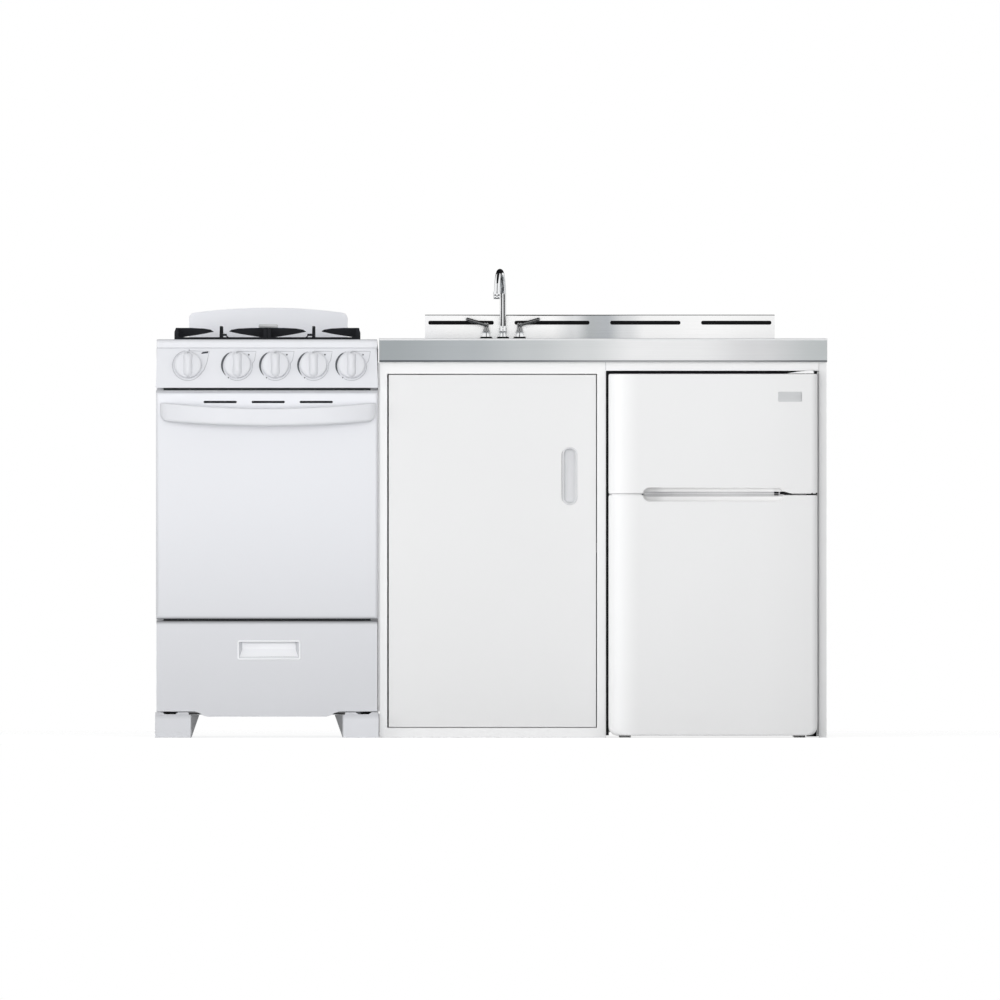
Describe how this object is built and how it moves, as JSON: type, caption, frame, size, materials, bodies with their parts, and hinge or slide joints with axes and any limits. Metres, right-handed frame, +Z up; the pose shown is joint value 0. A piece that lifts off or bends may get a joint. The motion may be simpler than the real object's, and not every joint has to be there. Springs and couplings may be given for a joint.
{
  "type": "kitchenette unit",
  "caption": "Kitchenette unit: gas range with oven and drawer beside a stainless-steel sink top over a steel cabinet with an under-counter refrigerator-freezer.",
  "frame": {"origin": "on the floor, under the middle of the unit's bounding box", "axes": "+X to the right seen from the front, +Y back to the wall, +Z up"},
  "size_m": [1.539, 0.662, 1.076],
  "materials": {
    "white_enamel": "gloss white enamel",
    "white_coating": "satin white coating",
    "white_plastic": "smooth moulded white",
    "galvanised": "galvanised sheet",
    "oven_enamel": "speckled dark enamel",
    "black_enamel": "black enamel",
    "cast_iron": "matt black",
    "stainless": "brushed along its length",
    "chrome": "polished",
    "silver_pull": "bright satin",
    "brass": "as turned",
    "black_steel": "black paint"
  },
  "bodies": {
    "unit": {"range_side_left": "white_enamel", "range_side_right": "white_enamel", "range_rear_panel": "galvanised", "range_base": "galvanised", "range_foot_left": "white_plastic", "range_foot_right": "white_plastic", "oven_liner": "oven_enamel", "oven_rack": "chrome", "oven_burner": "galvanised", "control_panel": "white_enamel", "gas_manifold": "brass", "cooktop": "white_enamel", "burner_front_left": "black_enamel", "burner_rear_left": "black_enamel", "burner_rear_right": "black_enamel", "burner_front_right": "black_enamel", "grate_left": "cast_iron", "grate_right": "cast_iron", "backguard": "white_enamel", "cabinet_face_frame": "white_coating", "cabinet_side_left": "white_coating", "cabinet_side_right": "white_coating", "cabinet_partition": "white_coating", "cabinet_back": "galvanised", "cabinet_floor": "white_coating", "countertop": "stainless", "backsplash": "stainless", "sink_bowl": "stainless", "sink_drain": "chrome", "faucet_base": "chrome", "fridge_cabinet": "white_coating", "fridge_hinge_top": "black_steel", "fridge_hinge_middle": "black_steel", "fridge_hinge_bottom": "black_steel", "compressor": "black_steel"},
    "oven_door": {"oven_door_skin": "white_enamel", "oven_door_liner": "oven_enamel", "oven_door_handle": "white_plastic"},
    "drawer": {"drawer_front": "white_enamel", "drawer_tray": "galvanised"},
    "sink_door": {"sink_door": "white_coating", "sink_door_grip": "white_plastic"},
    "fridge_door": {"fridge_door": "white_coating", "fridge_door_pull": "silver_pull"},
    "freezer_door": {"freezer_door": "white_coating", "freezer_door_pull": "silver_pull"},
    "spout": {"faucet_spout": "chrome"},
    "lever_left": {"faucet_lever_left": "chrome"},
    "lever_right": {"faucet_lever_right": "chrome"},
    "strainer": {"strainer_basket": "stainless"},
    "stem_oven": {"valve_stem_oven": "brass"},
    "stem_front_left": {"valve_stem_front_left": "brass"},
    "stem_rear_left": {"valve_stem_rear_left": "brass"},
    "stem_rear_right": {"valve_stem_rear_right": "brass"},
    "stem_front_right": {"valve_stem_front_right": "brass"},
    "knob_oven": {"knob_oven": "white_plastic"},
    "knob_front_left": {"knob_front_left": "white_plastic"},
    "knob_rear_left": {"knob_rear_left": "white_plastic"},
    "knob_rear_right": {"knob_rear_right": "white_plastic"},
    "knob_front_right": {"knob_front_right": "white_plastic"}
  },
  "joints": [
    {"name": "oven_door_hinge", "type": "hinge", "parent": "unit", "child": "oven_door", "pos_m": [-0.5135, -0.274, 0.2803], "axis": [1, 0, 0], "range_deg": [0, 90]},
    {"name": "drawer_slide", "type": "slide", "parent": "unit", "child": "drawer", "axis": [0, -1, 0], "range_m": [0, 0.3]},
    {"name": "sink_door_hinge", "type": "hinge", "parent": "unit", "child": "sink_door", "pos_m": [-0.2346, -0.269, 0.4275], "axis": [0, 0, -1], "range_deg": [0, 90]},
    {"name": "fridge_door_hinge", "type": "hinge", "parent": "unit", "child": "fridge_door", "pos_m": [0.7345, -0.297, 0.28], "axis": [0, 0, 1], "range_deg": [0, 110]},
    {"name": "freezer_door_hinge", "type": "hinge", "parent": "unit", "child": "freezer_door", "pos_m": [0.7345, -0.297, 0.6955], "axis": [0, 0, 1], "range_deg": [0, 110]},
    {"name": "spout_swivel", "type": "hinge", "parent": "unit", "child": "spout", "pos_m": [0.027, 0.187, 0.94], "axis": [0, 0, 1], "range_deg": [-90, 90]},
    {"name": "lever_left_turn", "type": "hinge", "parent": "unit", "child": "lever_left", "pos_m": [-0.0115, 0.187, 0.94], "axis": [0, 0, 1], "range_deg": [0, 90]},
    {"name": "lever_right_turn", "type": "hinge", "parent": "unit", "child": "lever_right", "pos_m": [0.0655, 0.187, 0.94], "axis": [0, 0, -1], "range_deg": [0, 90]},
    {"name": "strainer_lift", "type": "slide", "parent": "unit", "child": "strainer", "axis": [0, 0, 1], "range_m": [0, 0.03]},
    {"name": "push_oven", "type": "slide", "parent": "unit", "child": "stem_oven", "axis": [0, 0.977, -0.2133], "range_m": [0, 0.003], "stiffness_N_per_m": 400, "springref_m": -0.004},
    {"name": "push_front_left", "type": "slide", "parent": "unit", "child": "stem_front_left", "axis": [0, 0.977, -0.2133], "range_m": [0, 0.003], "stiffness_N_per_m": 400, "springref_m": -0.004},
    {"name": "push_rear_left", "type": "slide", "parent": "unit", "child": "stem_rear_left", "axis": [0, 0.977, -0.2133], "range_m": [0, 0.003], "stiffness_N_per_m": 400, "springref_m": -0.004},
    {"name": "push_rear_right", "type": "slide", "parent": "unit", "child": "stem_rear_right", "axis": [0, 0.977, -0.2133], "range_m": [0, 0.003], "stiffness_N_per_m": 400, "springref_m": -0.004},
    {"name": "push_front_right", "type": "slide", "parent": "unit", "child": "stem_front_right", "axis": [0, 0.977, -0.2133], "range_m": [0, 0.003], "stiffness_N_per_m": 400, "springref_m": -0.004},
    {"name": "turn_oven", "type": "hinge", "parent": "stem_oven", "child": "knob_oven", "pos_m": [-0.6945, -0.27886, 0.852], "axis": [0, -0.977, 0.2133], "range_deg": [0, 280]},
    {"name": "turn_front_left", "type": "hinge", "parent": "stem_front_left", "child": "knob_front_left", "pos_m": [-0.5815, -0.27886, 0.852], "axis": [0, -0.977, 0.2133], "range_deg": [0, 210]},
    {"name": "turn_rear_left", "type": "hinge", "parent": "stem_rear_left", "child": "knob_rear_left", "pos_m": [-0.4943, -0.27886, 0.852], "axis": [0, -0.977, 0.2133], "range_deg": [0, 210]},
    {"name": "turn_rear_right", "type": "hinge", "parent": "stem_rear_right", "child": "knob_rear_right", "pos_m": [-0.4071, -0.27886, 0.852], "axis": [0, -0.977, 0.2133], "range_deg": [0, 210]},
    {"name": "turn_front_right", "type": "hinge", "parent": "stem_front_right", "child": "knob_front_right", "pos_m": [-0.3199, -0.27886, 0.852], "axis": [0, -0.977, 0.2133], "range_deg": [0, 210]}
  ]
}
